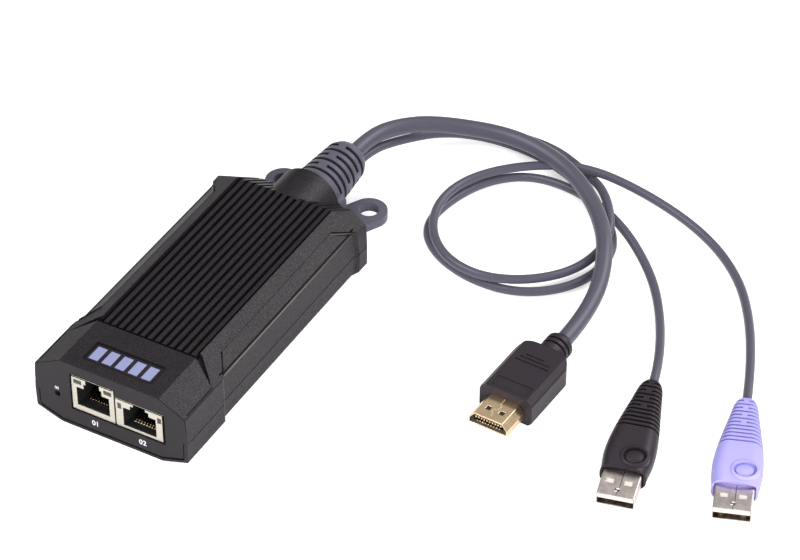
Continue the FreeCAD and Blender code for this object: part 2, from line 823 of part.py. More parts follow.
def video_plug_grip():
    """The moulded grip: a flat body with round shoulders, and a ringed neck."""
    half = video_grip_width / 2
    height = video_grip_height
    right = [(half - 1.2, 0), (half, 1.2), (half, 7.7), (half - 0.5, 7.9), (half - 0.5, 8.2),
             (half - 0.2, 8.4), (half - 1.9, height)]
    outline = right + [(-x, z) for x, z in reversed(right)]
    body = prism_y(outline, video_exposed, video_grip_end)
    plan = box(-half, half, video_exposed, video_grip_end, -1, height + 1)
    rear = [e for e in plan.Edges if abs(e.tangentAt(e.FirstParameter).z) > 0.9
            and e.Vertexes[0].Point.y > video_exposed + 1]
    plan = plan.makeFillet(5.6, rear)
    body = body.common(plan)
    middle = height / 2
    r = video_neck
    profile = [vec(0, video_grip_end - 6, middle), vec(0, video_grip_end - 6, middle + r),
               vec(0, video_plug_end - 1.6, middle + r), vec(0, video_plug_end, middle + r - 1.1),
               vec(0, video_plug_end, middle)]
    neck = face_of(profile).revolve(vec(0, 0, middle), axis_y, 360)
    body = fuse_all([body, neck])
    rings = []
    for reach in (video_grip_end + 3.0, video_grip_end + 5.2):
        ring = rod_y(r + 2, 0, middle, reach, reach + 0.9)
        rings.append(ring.cut(rod_y(r - 0.8, 0, middle, reach - 1, reach + 2)))
    label = rounded_plate(-6.4, 6.4, 12.2, 16.9, height - 0.35, height + 1, 0.4)
    lines = [box(x0, x1, reach, reach + 0.6, height - 0.35, height + 1)
             for x0, x1, reach in ((-6.0, 6.0, 26.2), (-5.3, 5.3, 28.0), (-4.0, 2.5, 29.6))]
    seat = prism_y(video_shell_outline(0), video_exposed - 1, video_exposed + plug_seat)
    return placed(cut_all(body, rings + lines + [label, seat]), video_plug)


def rounded_ring(half_width, half_height, radius, y):
    """A rounded rectangle across the plug's axis, as a wire."""
    w = half_width - radius
    h = half_height - radius
    z = data_middle_z
    k = radius * math.sqrt(0.5)
    edges = []
    corners = [(w, h, 1, 1), (-w, h, -1, 1), (-w, -h, -1, -1), (w, -h, 1, -1)]
    points = []
    for cx, cz, sx, sz in corners:
        side = vec(cx + sx * radius, y, z + cz)
        top = vec(cx, y, z + cz + sz * radius)
        mid = vec(cx + sx * k, y, z + cz + sz * k)
        points.append((side, mid, top) if sx * sz > 0 else (top, mid, side))
    for k in range(4):
        start, mid, end = points[k]
        edges.append(Part.Arc(start, mid, end).toShape())
        following = points[(k + 1) % 4][0]
        edges.append(Part.LineSegment(end, following).toShape())
    return Part.Wire(edges)


def data_grip_form(inset):
    """The tapered body of a data plug: half width and half height at each reach."""
    stations = [(data_exposed, 7.3, 4.25), (16.0, 7.7, 4.75), (24.0, 7.75, 4.8), (30.0, 7.1, 4.6),
                (39.2, 5.65, 3.9), (47.0, 4.4, 3.2), (data_plug_end - 2.1, 3.6, 2.8),
                (data_plug_end, 2.5, 2.2)]
    rings = []
    for reach, half_width, half_height in stations:
        w = half_width - inset
        h = half_height - inset
        rings.append(rounded_ring(w, h, h * 0.86, reach))
    return Part.makeLoft(rings, True, False)


def data_plug_grip(plug):
    form = data_grip_form(0)
    core = data_grip_form(0.7)
    grooves = []
    for k in range(groove_count):
        reach = data_plug_end - 2.5 - groove_pitch * k
        slab = box(-10, 10, reach, reach + 0.8, -2, 12)
        if k % 2 == 0 and k < 8:
            slab = slab.cut(box(-0.9, 0.9, reach - 1, reach + 2, data_middle_z, 12))
        grooves.append(slab)
    grooves = Part.makeCompound(grooves).cut(core)
    button_x = 2.4
    button_y = 15.9
    top = data_middle_z + 5.15
    boss = rod_z(4.6, button_x, button_y, data_middle_z, top)
    rim = [e for e in boss.Edges if abs(e.CenterOfMass.z - top) < 0.01
           and e.Curve.TypeId == "Part::GeomCircle"]
    boss = boss.makeFillet(0.7, rim)
    moat = rod_z(3.6, button_x, button_y, top - 1.1, top + 1)
    moat = moat.cut(dome(button_x, button_y, top - 0.3, 2.8))
    z0 = data_middle_z - data_shell_height / 2
    z1 = data_middle_z + data_shell_height / 2
    half = data_shell_width / 2
    seat = box(-half, half, data_exposed - 1, data_exposed + plug_seat, z0, z1)
    mouth = mouth_form(half + 0.4, z0 - 0.3, z1 + 0.3, 1.2)
    body = form.fuse(boss)
    body = cut_all(body, [grooves, moat, seat, mouth])
    return placed(body, plug)


def dome(x, y, crown, radius):
    """A shallow round button with a domed top."""
    sphere = Part.makeSphere(9.0, vec(x, y, crown - 9.0))
    return rod_z(radius, x, y, crown - 3, crown + 1).common(sphere)


def mouth_form(half, z0, z1, rise):
    """The arched hollow in the front of the grip, round the shell."""
    y = data_exposed - 1
    edges = [Part.LineSegment(vec(-half, y, z1), vec(-half, y, z0)).toShape(),
             Part.LineSegment(vec(-half, y, z0), vec(half, y, z0)).toShape(),
             Part.LineSegment(vec(half, y, z0), vec(half, y, z1)).toShape(),
             Part.Arc(vec(half, y, z1), vec(0, y, z1 + rise), vec(-half, y, z1)).toShape()]
    return Part.Face(Part.Wire(edges)).extrude(vec(0, 1.7, 0))


def data_plug_shell(plug):
    z0 = data_middle_z - data_shell_height / 2
    z1 = data_middle_z + data_shell_height / 2
    half = data_shell_width / 2
    t = data_shell_wall
    outer = box(-half, half, 0, data_exposed + plug_seat, z0, z1)
    lengthwise = [e for e in outer.Edges if abs(e.tangentAt(e.FirstParameter).y) > 0.9]
    outer = outer.makeFillet(0.5, lengthwise)
    inner = box(-half + t, half - t, -1, data_exposed + plug_seat + 1, z0 + t, z1 - t)
    holes = [box(x - 1.25, x + 1.25, 5.0, 7.3, z0 - 1, z1 + 1) for x in (-2.9, 2.9)]
    return placed(cut_all(outer, [inner] + holes), plug)


def data_plug_insert(plug):
    z0 = data_middle_z - data_shell_height / 2 + data_shell_wall
    z1 = data_middle_z + data_shell_height / 2 - data_shell_wall
    half = data_shell_width / 2 - data_shell_wall
    tongue = box(-half, half, 0.4, data_exposed + plug_seat, z1 - data_tongue, z1)
    back = box(-half, half, 9.6, data_exposed + plug_seat, z0, z1)
    return placed(tongue.fuse(back).removeSplitter(), plug)


def data_plug_contacts(plug):
    z1 = data_middle_z + data_shell_height / 2 - data_shell_wall - data_tongue
    pads = []
    for x, y0 in ((-3.5, 0.9), (-1.0, 1.9), (1.0, 1.9), (3.5, 0.9)):
        pads.append(box(x - 0.5, x + 0.5, y0, 9.6, z1 - 0.2, z1))
    return placed(Part.makeCompound(pads), plug)


def route(start, middle, plug, reach, lead_in):
    """A cord's points: its exit, the points chosen by hand, and a straight way into its plug."""
    end = [plug_point(plug, reach + lead_in), plug_point(plug, reach)]
    return [vec(*p) for p in start + middle] + end


video_route = route([(1.0, tip_y, 13.4)],
                    [(1.0, 85.6, 13.4), (6.5, 97.3, 12.6), (17.3, 106.3, 11.8), (43.7, 113.3, 11.4),
                     (66.5, 107.0, 11.1), (84.0, 93.5, 10.6), (97.0, 76.0, 9.5)],
                    video_plug, video_plug_end, 20.5)
violet_route = route([(-2.0, tip_y, 9.0)],
                     [(-2.0, 84.0, 9.0), (1.5, 98.5, 6.8), (11.5, 113.0, 4.6), (30.0, 122.0, 2.8),
                      (50.5, 125.5, 1.8), (68.5, 117.9, 1.65), (84.0, 101.9, 9.3), (94.0, 86.0, 6.1),
                      (90.5, 70.5, 2.6), (80.5, 55.5, 4.2), (66.0, 47.5, 5.2), (51.0, 50.0, 5.0),
                      (39.0, 60.5, 4.9), (33.4, 76.5, 5.3), (36.9, 93.5, 4.9), (50.5, 107.0, 5.8),
                      (70.5, 114.1, 8.0), (95.0, 114.0, 4.5), (118.5, 107.5, 1.75),
                      (137.0, 93.0, 1.75), (150.0, 74.0, 2.6)],
                     violet_plug, data_plug_end, 16.0)
black_route = route([(2.0, tip_y, 9.0)],
                    [(2.0, 84.0, 9.0), (7.0, 98.0, 6.4), (17.0, 112.5, 4.0), (34.5, 119.5, 2.0),
                     (56.5, 117.5, 1.7), (77.5, 106.0, 1.65), (93.0, 91.5, 1.65), (96.5, 75.0, 1.7),
                     (90.5, 59.5, 1.7), (77.0, 49.5, 1.65), (60.0, 48.5, 1.65), (43.5, 54.5, 1.65),
                     (34.0, 65.5, 1.7), (34.6, 81.5, 1.7), (40.6, 97.5, 1.65), (53.0, 106.5, 2.6),
                     (72.0, 104.5, 4.6), (92.5, 95.5, 5.2), (111.0, 80.5, 2.4), (123.5, 62.5, 2.2)],
                    black_plug, data_plug_end, 10.0)


def wire_header(x, width):
    return chip(x, header_middle, width, header_depth, header_height)


def leads(name, start, x, width):
    """The cores of a cord, from the strain relief down to their header on the board."""
    z = board_top + header_height / 2
    end = along(header_middle + header_depth / 2)
    bend = (start.y - end) * 0.3
    points = [start, start - axis_y * bend, vec(x, end + bend, z), vec(x, end, z)]
    return cord(name, points, width)


export("upper_shell", upper_shell())
export("lower_shell", lower_shell())
export("strain_relief", strain_relief())
export("circuit_board", board())
export("housing_screws", housing_screws())
for side, jack in (("left", left_jack), ("right", right_jack)):
    export(side + "_jack_shield", jack_shield(jack))
    export(side + "_jack_insert", jack_insert(jack))
    export(side + "_jack_contacts", jack_contacts(jack))
    export(side + "_jack_lights", jack_lights(jack))
export("reset_switch_case", reset_switch_case())
export("reset_button", reset_button())
export("processor", chip(-4.0, 62.0, 19.0, 19.0, 2.2))
export("memory_chips", Part.makeCompound([chip(-14.0, 78.0, 9.0, 12.0, 1.1),
                                          chip(-3.0, 78.0, 9.0, 12.0, 1.1)]))
export("video_chip", chip(9.0, 78.0, 10.0, 10.0, 1.2))
export("network_transformers", Part.makeCompound([chip(-6.6, 32.0, 12.0, 9.0, 5.2),
                                                  chip(8.5, 32.0, 9.0, 9.0, 5.2)]))
export("power_inductor", chip(16.5, 39.0, 6.0, 6.0, 3.6))
export("capacitors", capacitors())
export("video_wire_header", wire_header(-4.5, 14.0))
export("data_wire_header", wire_header(7.5, 8.5))
lead_start = along(relief_start)
export("video_leads", leads("video_leads", vec(1.0, lead_start, 13.4), -4.5, 2.6))
export("data_leads", leads("data_leads", vec(2.0, lead_start, 9.0), 7.5, 2.0))
export("video_cord", cord("video_cord", video_route, video_cord_width))
export("violet_cord", cord("violet_cord", violet_route, data_cord_width))
export("black_cord", cord("black_cord", black_route, data_cord_width))
export("video_plug_grip", video_plug_grip())
export("video_plug_shell", video_plug_shell())
export("video_plug_insert", video_plug_insert())
export("video_plug_contacts", video_plug_contacts())
for name, plug in (("black_plug", black_plug), ("violet_plug", violet_plug)):
    export(name + "_grip", data_plug_grip(plug))
    export(name + "_shell", data_plug_shell(plug))
    export(name + "_insert", data_plug_insert(plug))
    export(name + "_contacts", data_plug_contacts(plug))
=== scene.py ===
import bpy
import bmesh
import math
from mathutils import Matrix, Vector


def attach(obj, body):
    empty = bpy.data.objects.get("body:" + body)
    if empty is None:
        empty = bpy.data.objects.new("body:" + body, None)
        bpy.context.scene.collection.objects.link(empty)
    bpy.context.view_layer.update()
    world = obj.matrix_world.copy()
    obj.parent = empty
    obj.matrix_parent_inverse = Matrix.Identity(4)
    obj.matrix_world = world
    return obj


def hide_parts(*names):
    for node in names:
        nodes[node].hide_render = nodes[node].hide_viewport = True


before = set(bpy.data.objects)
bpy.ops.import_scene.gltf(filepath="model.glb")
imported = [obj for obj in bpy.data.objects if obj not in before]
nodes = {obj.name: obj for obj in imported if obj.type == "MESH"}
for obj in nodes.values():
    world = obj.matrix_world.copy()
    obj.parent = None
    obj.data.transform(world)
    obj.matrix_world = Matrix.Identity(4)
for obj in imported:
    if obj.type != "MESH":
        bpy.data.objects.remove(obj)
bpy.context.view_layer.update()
scene = bpy.context.scene
body = "dongle"

# Camera: a long lens, high on the right of the socket face
cameraView = {
    "place": (0.45371, -0.69612, 0.70619),
    "elevation": 39.944,
    "azimuth": 29.40,
    "lens": 150.04,
    "sensor": 36.0,
    "clip": (0.01, 20),
}


def makeCamera(view):
    data = bpy.data.cameras.new("camera")
    data.lens = view["lens"]
    data.sensor_width = view["sensor"]
    data.clip_start, data.clip_end = view["clip"]
    camera = bpy.data.objects.new("camera", data)
    camera.location = view["place"]
    tilt = math.radians(90 - view["elevation"])
    camera.rotation_euler = (tilt, 0, math.radians(view["azimuth"]))
    scene.collection.objects.link(camera)
    scene.camera = camera


makeCamera(cameraView)
print("camera placed")

# Cords: the points each one bends by, in metres, from the strain relief to its plug
cordCurve = {"order": 3, "stepsAlong": 10, "stepsRound": 5}
videoCord = {
    "name": "videoCordSkin",
    "replaces": "video_cord",
    "diameter": 0.0056,
    "length": 0.1778,
    "stiffness": "medium",
    "plug": ["video_plug_grip", "video_plug_shell", "video_plug_insert", "video_plug_contacts"],
    "points": [
        (0.0010, 0.0735, 0.0134), (0.0010, 0.0856, 0.0134), (0.0065, 0.0973, 0.0126),
        (0.0173, 0.1063, 0.0118), (0.0437, 0.1133, 0.0114), (0.0665, 0.1070, 0.0111),
        (0.0840, 0.0935, 0.0106), (0.0970, 0.0760, 0.0095), (0.10423, 0.05236, 0.005),
        (0.10316, 0.03189, 0.005),
    ],
}
violetCord = {
    "name": "violetCordSkin",
    "replaces": "violet_cord",
    "diameter": 0.0031,
    "length": 0.4352,
    "stiffness": "limp",
    "plug": ["violet_plug_grip", "violet_plug_shell", "violet_plug_insert", "violet_plug_contacts"],
    "points": [
        (-0.0020, 0.0735, 0.0090), (-0.0020, 0.0840, 0.0090), (0.0015, 0.0985, 0.0068),
        (0.0115, 0.1130, 0.0046), (0.0300, 0.1220, 0.0028), (0.0505, 0.1255, 0.0018),
        (0.0685, 0.1179, 0.00165), (0.0840, 0.1019, 0.0093), (0.0940, 0.0860, 0.0061),
        (0.0905, 0.0705, 0.0026), (0.0805, 0.0555, 0.0042), (0.0660, 0.0475, 0.0052),
        (0.0510, 0.0500, 0.0050), (0.0390, 0.0605, 0.0049), (0.0334, 0.0765, 0.0053),
        (0.0369, 0.0935, 0.0049), (0.0505, 0.1070, 0.0058), (0.0705, 0.1141, 0.0080),
        (0.0950, 0.1140, 0.0045), (0.1185, 0.1075, 0.00175), (0.1370, 0.0930, 0.00175),
        (0.1500, 0.0740, 0.0026), (0.16109, 0.05053, 0.00329), (0.16651, 0.03549, 0.00385),
    ],
}
blackCord = {
    "name": "blackCordSkin",
    "replaces": "black_cord",
    "diameter": 0.0031,
    "length": 0.3983,
    "stiffness": "limp",
    "plug": ["black_plug_grip", "black_plug_shell", "black_plug_insert", "black_plug_contacts"],
    "points": [
        (0.0020, 0.0735, 0.0090), (0.0020, 0.0840, 0.0090), (0.0070, 0.0980, 0.0064),
        (0.0170, 0.1125, 0.0040), (0.0345, 0.1195, 0.0020), (0.0565, 0.1175, 0.0017),
        (0.0775, 0.1060, 0.00165), (0.0930, 0.0915, 0.00165), (0.0965, 0.0750, 0.0017),
        (0.0905, 0.0595, 0.0017), (0.0770, 0.0495, 0.00165), (0.0600, 0.0485, 0.00165),
        (0.0435, 0.0545, 0.00165), (0.0340, 0.0655, 0.0017), (0.0346, 0.0815, 0.0017),
        (0.0406, 0.0975, 0.00165), (0.0530, 0.1065, 0.0026), (0.0720, 0.1045, 0.0046),
        (0.0925, 0.0955, 0.0052), (0.1110, 0.0805, 0.0024), (0.1235, 0.0625, 0.0022),
        (0.13559, 0.03622, 0.00645), (0.13796, 0.02651, 0.0061),
    ],
}


def makeCord(cord, settings):
    curve = bpy.data.curves.new(cord["name"], "CURVE")
    curve.dimensions = "3D"
    # the thickness sits on the points, so that the curve's box is no wider than the cord
    curve.bevel_depth = 1
    curve.bevel_resolution = settings["stepsRound"]
    curve.resolution_u = settings["stepsAlong"]
    curve.use_fill_caps = True
    spline = curve.splines.new("NURBS")
    spline.points.add(len(cord["points"]) - 1)
    for point, place in zip(spline.points, cord["points"]):
        point.co = (*place, 1)
        point.radius = cord["diameter"] / 2
    spline.order_u = settings["order"]
    spline.use_endpoint_u = True
    piece = bpy.data.objects.new(cord["name"], curve)
    scene.collection.objects.link(piece)
    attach(piece, body)
    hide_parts(cord["replaces"])
    return piece


cordPieces = [makeCord(cord, cordCurve) for cord in (videoCord, violetCord, blackCord)]
print("cords laid")


# Shader groups shared by the finishes
def socket(group, name, kind, value=None, output=False):
    made = group.interface.new_socket(name=name, in_out="OUTPUT" if output else "INPUT",
                                      socket_type=kind)
    if value is not None:
        made.default_value = value


def feed(tree, place, given):
    # an output is linked to the place, and anything else becomes its constant
    if isinstance(given, bpy.types.NodeSocket):
        tree.links.new(given, place)
    else:
        place.default_value = given


def mathNode(tree, operation, *inputs):
    node = tree.nodes.new("ShaderNodeMath")
    node.operation = operation
    for place, given in zip(node.inputs, inputs):
        feed(tree, place, given)
    return node.outputs[0]


def scaleNode(tree, vector, scale):
    node = tree.nodes.new("ShaderNodeVectorMath")
    node.operation = "SCALE"
    feed(tree, node.inputs[0], vector)
    feed(tree, node.inputs["Scale"], scale)
    return node.outputs[0]


def rangeNode(tree, value, low, high, fromLow=0, fromHigh=1):
    node = tree.nodes.new("ShaderNodeMapRange")
    given = {"Value": value, "From Min": fromLow, "From Max": fromHigh,
             "To Min": low, "To Max": high}
    for name, entry in given.items():
        feed(tree, node.inputs[name], entry)
    return node.outputs["Result"]


def useGroup(tree, group, given):
    node = tree.nodes.new("ShaderNodeGroup")
    node.node_tree = group
    for name, entry in given.items():
        feed(tree, node.inputs[name], entry)
    return node.outputs


def makeGrainGroup(settings):
    # moulded or cast surface: fine grain, a broad cloudiness and a height for bump
    group = bpy.data.node_groups.new("surfaceGrain", "ShaderNodeTree")
    socket(group, "Grain Size", "NodeSocketFloat", 0.0005)
    socket(group, "Cloud Size", "NodeSocketFloat", 0.02)
    for name in ("Height", "Grain", "Cloud"):
        socket(group, name, "NodeSocketFloat", output=True)
    given = group.nodes.new("NodeGroupInput").outputs
    result = group.nodes.new("NodeGroupOutput").inputs
    coords = group.nodes.new("ShaderNodeTexCoord")
    fineScale = mathNode(group, "DIVIDE", 1, given["Grain Size"])
    broadScale = mathNode(group, "DIVIDE", 1, given["Cloud Size"])
    fine = group.nodes.new("ShaderNodeTexNoise")
    fine.inputs["Detail"].default_value = settings["fineDetail"]
    broad = group.nodes.new("ShaderNodeTexNoise")
    broad.inputs["Detail"].default_value = settings["broadDetail"]
    pits = group.nodes.new("ShaderNodeTexVoronoi")
    pits.feature = "SMOOTH_F1"
    for texture, scale in ((fine, fineScale), (pits, fineScale), (broad, broadScale)):
        feed(group, texture.inputs["Vector"], coords.outputs["Object"])
        feed(group, texture.inputs["Scale"], scale)
    mixed = mathNode(group, "ADD", fine.outputs["Fac"], pits.outputs["Distance"])
    feed(group, result["Height"], mathNode(group, "MULTIPLY", mixed, settings["heightShare"]))
    feed(group, result["Grain"], fine.outputs["Fac"])
    feed(group, result["Cloud"], broad.outputs["Fac"])
    return group


def makeToneGroup():
    # shifts a colour lighter and darker as a mask leaves its middle value
    group = bpy.data.node_groups.new("toneShift", "ShaderNodeTree")
    middle = 0.5
    socket(group, "Color", "NodeSocketColor", (0.5, 0.5, 0.5, 1))
    socket(group, "Mask", "NodeSocketFloat", middle)
    socket(group, "Amount", "NodeSocketFloat", 0.2)
    socket(group, "Color Out", "NodeSocketColor", output=True)
    given = group.nodes.new("NodeGroupInput").outputs
    result = group.nodes.new("NodeGroupOutput").inputs
    centred = mathNode(group, "SUBTRACT", given["Mask"], middle)
    scaled = mathNode(group, "MULTIPLY_ADD", centred, given["Amount"], 1)
    feed(group, result["Color Out"], scaleNode(group, given["Color"], scaled))
    return group


def makeCalmGroup(left):
    # keeps the grain behind a given y, and only the share left of it on the face ahead
    group = bpy.data.node_groups.new("calmFront", "ShaderNodeTree")
    middle = 0.5
    socket(group, "Edge", "NodeSocketFloat", -1.0)
    for name in ("Grain", "Height"):
        socket(group, name, "NodeSocketFloat", middle)
        socket(group, name + " Out", "NodeSocketFloat", output=True)
    given = group.nodes.new("NodeGroupInput").outputs
    result = group.nodes.new("NodeGroupOutput").inputs
    coords = group.nodes.new("ShaderNodeTexCoord")
    parts = group.nodes.new("ShaderNodeSeparateXYZ")
    feed(group, parts.inputs[0], coords.outputs["Object"])
    behind = mathNode(group, "GREATER_THAN", parts.outputs["Y"], given["Edge"])
    share = mathNode(group, "MULTIPLY_ADD", behind, 1 - left, left)
    for name in ("Grain", "Height"):
        blend = group.nodes.new("ShaderNodeMix")
        feed(group, blend.inputs["Factor"], share)
        feed(group, blend.inputs["A"], middle)
        feed(group, blend.inputs["B"], given[name])
        feed(group, result[name + " Out"], blend.outputs["Result"])
    return group


surface = {"fineDetail": 2, "broadDetail": 3, "heightShare": 0.6, "leftInFront": 0.2}
grainGroup = makeGrainGroup(surface)
toneGroup = makeToneGroup()
calmGroup = makeCalmGroup(surface["leftInFront"])

# What a finish has where it doesn't say otherwise; sizes are in metres
usualLook = {
    "metallic": 0, "ior": 1.47, "specular": 0.5, "shine": (1, 1, 1), "sparkle": 0,
    "coat": 0, "coatRoughness": 0.2, "sheen": 0, "sheenRoughness": 0.5, "swing": 0.06,
    "grainSize": 0.0005, "grainTone": 0.3, "grainRange": (0.3, 0.7),
    "cloudSize": 0.02, "cloudTone": 0.15, "calmAhead": -1,
    # painted shade in hollows: how dark it goes, how far the occlusion looks, its range and samples
    "paintedShadeAmount": 0, "paintedShadeReach": 0.0011, "paintedShadeRange": (0.3, 0.8), "paintedShadeSamples": 6,
    "edge": 0.00025, "edgeSamples": 6, "bump": 0.3, "bumpDepth": 0.0001,
}


def makeFinish(name, settings):
    # one finish: fine and broad colour variation, painted shade in hollows, its own roughness and
    # bump
    look = {**usualLook, **settings}
    material = bpy.data.materials.new(name)
    material.use_nodes = True
    tree = material.node_tree
    grain = useGroup(tree, grainGroup, {"Grain Size": look["grainSize"],
                                        "Cloud Size": look["cloudSize"]})
    calm = useGroup(tree, calmGroup, {"Edge": look["calmAhead"], "Grain": grain["Grain"],
                                      "Height": grain["Height"]})
    fineTone = useGroup(tree, toneGroup, {"Color": (*look["color"], 1), "Amount": look["grainTone"],
                                          "Mask": calm["Grain Out"]})
    broadTone = useGroup(tree, toneGroup, {"Color": fineTone["Color Out"],
                                           "Amount": look["cloudTone"], "Mask": grain["Cloud"]})
    # painted shade: occlusion darkens the colour and dims the shine in hollows and where parts come
    # close
    paintedShadeProbe = tree.nodes.new("ShaderNodeAmbientOcclusion")
    paintedShadeProbe.samples = look["paintedShadeSamples"]
    paintedShadeProbe.inputs["Distance"].default_value = look["paintedShadeReach"]
    paintedShade = rangeNode(tree, paintedShadeProbe.outputs["AO"], 1 - look["paintedShadeAmount"], 1, *look["paintedShadeRange"])
    glint = rangeNode(tree, calm["Grain Out"], look["specular"] - look["sparkle"],
                      look["specular"] + look["sparkle"], *look["grainRange"])
    swing = rangeNode(tree, grain["Cloud"], look["roughness"] - look["swing"],
                      look["roughness"] + look["swing"])
    rounded = tree.nodes.new("ShaderNodeBevel")
    rounded.samples = look["edgeSamples"]
    rounded.inputs["Radius"].default_value = look["edge"]
    bump = tree.nodes.new("ShaderNodeBump")
    bump.inputs["Strength"].default_value = look["bump"]
    bump.inputs["Distance"].default_value = look["bumpDepth"]
    feed(tree, bump.inputs["Height"], calm["Height Out"])
    feed(tree, bump.inputs["Normal"], rounded.outputs["Normal"])
    given = {
        "Base Color": scaleNode(tree, broadTone["Color Out"], paintedShade),
        "Metallic": look["metallic"],
        "Roughness": swing,
        "IOR": look["ior"],
        "Specular IOR Level": mathNode(tree, "MULTIPLY", glint, paintedShade),
        "Specular Tint": (*look["shine"], 1),
        "Coat Weight": look["coat"],
        "Coat Roughness": look["coatRoughness"],
        "Sheen Weight": look["sheen"],
        "Sheen Roughness": look["sheenRoughness"],
        "Normal": bump.outputs["Normal"],
    }
    shader = tree.nodes["Principled BSDF"]
    for place, entry in given.items():
        feed(tree, shader.inputs[place], entry)
    return material


finishes = {
    "housing": {"color": (0.0125, 0.0098, 0.0120), "roughness": 0.45, "specular": 0.36,
                "shine": (1.0, 0.955, 0.985), "sparkle": 0.18, "grainSize": 0.00042,
                "grainTone": 1.5, "cloudTone": 0.2, "bump": 0.5, "edge": 0.00025,
                "calmAhead": -0.0731, "paintedShadeAmount": 0.4},
    "relief": {"color": (0.068, 0.063, 0.092), "roughness": 0.52, "sparkle": 0.1,
               "grainSize": 0.0007, "grainTone": 0.5, "bump": 0.12, "edge": 0.0003,
               "sheen": 0.15, "paintedShadeAmount": 0.97, "paintedShadeReach": 0.0026},
    "cord": {"color": (0.064, 0.060, 0.086), "roughness": 0.36, "grainSize": 0.0009,
             "grainTone": 0.2, "bump": 0.12, "edge": 0.0001, "sheen": 0.1},
    "grip": {"color": (0.0245, 0.0196, 0.0242), "roughness": 0.40, "specular": 0.30,
             "shine": (1.0, 0.92, 0.98), "sparkle": 0.06, "grainSize": 0.0004, "grainTone": 0.8,
             "bump": 0.2, "edge": 0.0003, "paintedShadeAmount": 0.7},
    "violet": {"color": (0.38, 0.345, 0.77), "roughness": 0.5, "specular": 0.3,
               "grainSize": 0.0006, "grainTone": 0.08, "cloudTone": 0.06, "bump": 0.1,
               "edge": 0.0003, "paintedShadeAmount": 0.35},
    "board": {"color": (0.012, 0.10, 0.045), "roughness": 0.35, "grainSize": 0.0012, "coat": 0.4},
    "steel": {"color": (0.42, 0.42, 0.44), "metallic": 1, "roughness": 0.35, "bump": 0.1},
    "shield": {"color": (0.74, 0.69, 0.60), "metallic": 1, "roughness": 0.36, "grainSize": 0.0012,
               "grainTone": 0.12, "bump": 0.06, "edge": 0.00015},
    "nickel": {"color": (0.80, 0.71, 0.66), "metallic": 1, "roughness": 0.34, "grainSize": 0.0009,
               "grainTone": 0.5, "cloudSize": 0.0030, "cloudTone": 0.6, "swing": 0.1, "bump": 0.12,
               "edge": 0.00025},
    "gold": {"color": (0.98, 0.73, 0.46), "metallic": 1, "roughness": 0.24, "grainSize": 0.0008,
             "grainTone": 0.35, "cloudSize": 0.004, "cloudTone": 0.3, "bump": 0.08, "edge": 0.0003},
    "paintedTipHighlight": {"color": (0.85, 0.72, 0.50), "roughness": 0.35, "bump": 0.05, "edge": 0.0001},
    "blackPlastic": {"color": (0.012, 0.012, 0.013), "roughness": 0.4, "bump": 0.1,
                     "edge": 0.00015},
    "tongue": {"color": (0.62, 0.58, 0.53), "roughness": 0.45, "grainTone": 0.1, "bump": 0.1,
               "edge": 0.00015},
    "palePlastic": {"color": (0.72, 0.70, 0.66), "roughness": 0.45, "grainTone": 0.05, "bump": 0.08,
                    "edge": 0.00015},
    "switchButton": {"color": (0.02, 0.02, 0.022), "roughness": 0.4, "bump": 0.1},
    "clear": {"color": (0.045, 0.036, 0.030), "roughness": 0.3, "grainTone": 0.3, "bump": 0.04,
              "edge": 0.0001, "coat": 0.2},
    "chip": {"color": (0.02, 0.02, 0.021), "roughness": 0.6, "bump": 0.2},
    "ferrite": {"color": (0.05, 0.05, 0.052), "roughness": 0.6, "bump": 0.3},
    "can": {"color": (0.6, 0.6, 0.62), "metallic": 1, "roughness": 0.3, "bump": 0.08},
    "print": {"color": (0.82, 0.82, 0.84), "roughness": 0.55, "grainTone": 0.06, "bump": 0.05},
    "badge": {"color": (0.235, 0.25, 0.43), "roughness": 0.4, "grainTone": 0.08, "bump": 0.05},
    "seam": {"color": (0.03, 0.027, 0.024), "roughness": 0.5, "bump": 0.05},
    "paleSeam": {"color": (0.66, 0.55, 0.38), "roughness": 0.4, "bump": 0.05},
    "paintedShadeBlack": {"color": (0.002, 0.002, 0.002), "roughness": 0.8, "specular": 0.1, "bump": 0.05},
    "paintedCreaseShade": {"color": (0.004, 0.004, 0.0045), "roughness": 0.6, "specular": 0.15, "bump": 0.05,
               "edge": 0.00005},
    "paintedHighlightBead": {"color": (0.120, 0.112, 0.104), "roughness": 0.38, "specular": 0.6, "bump": 0.02,
             "edge": 0.00005},
    "underTongue": {"color": (0.030, 0.017, 0.010), "roughness": 0.5, "specular": 0.2, "bump": 0.05,
                    "edge": 0.00005},
    "trim": {"color": (0.004, 0.004, 0.005), "roughness": 0.3, "specular": 0.3, "bump": 0.05,
             "edge": 0.0001},
}
materials = {name: makeFinish(name, look) for name, look in finishes.items()}

nodeFinishes = {
    "upper_shell": "housing", "lower_shell": "housing", "strain_relief": "relief",
    "circuit_board": "board", "housing_screws": "steel",
    "left_jack_shield": "shield", "left_jack_insert": "blackPlastic",
    "left_jack_contacts": "gold", "left_jack_lights": "clear",
    "right_jack_shield": "shield", "right_jack_insert": "blackPlastic",
    "right_jack_contacts": "gold", "right_jack_lights": "clear",
    "reset_switch_case": "blackPlastic", "reset_button": "switchButton",
    "processor": "chip", "memory_chips": "chip", "video_chip": "chip",
    "network_transformers": "chip", "power_inductor": "ferrite", "capacitors": "can",
    "video_wire_header": "palePlastic", "data_wire_header": "palePlastic",
    "video_leads": "relief", "data_leads": "relief",
    "video_plug_grip": "grip", "video_plug_shell": "gold",
    "video_plug_insert": "blackPlastic", "video_plug_contacts": "gold",
    "black_plug_grip": "grip", "black_plug_shell": "nickel",
    "black_plug_insert": "tongue", "black_plug_contacts": "gold",
    "violet_plug_grip": "violet", "violet_plug_shell": "nickel",
    "violet_plug_insert": "tongue", "violet_plug_contacts": "gold",
}


def dress(piece, finish):
    piece.data.materials.clear()
    piece.data.materials.append(materials[finish])


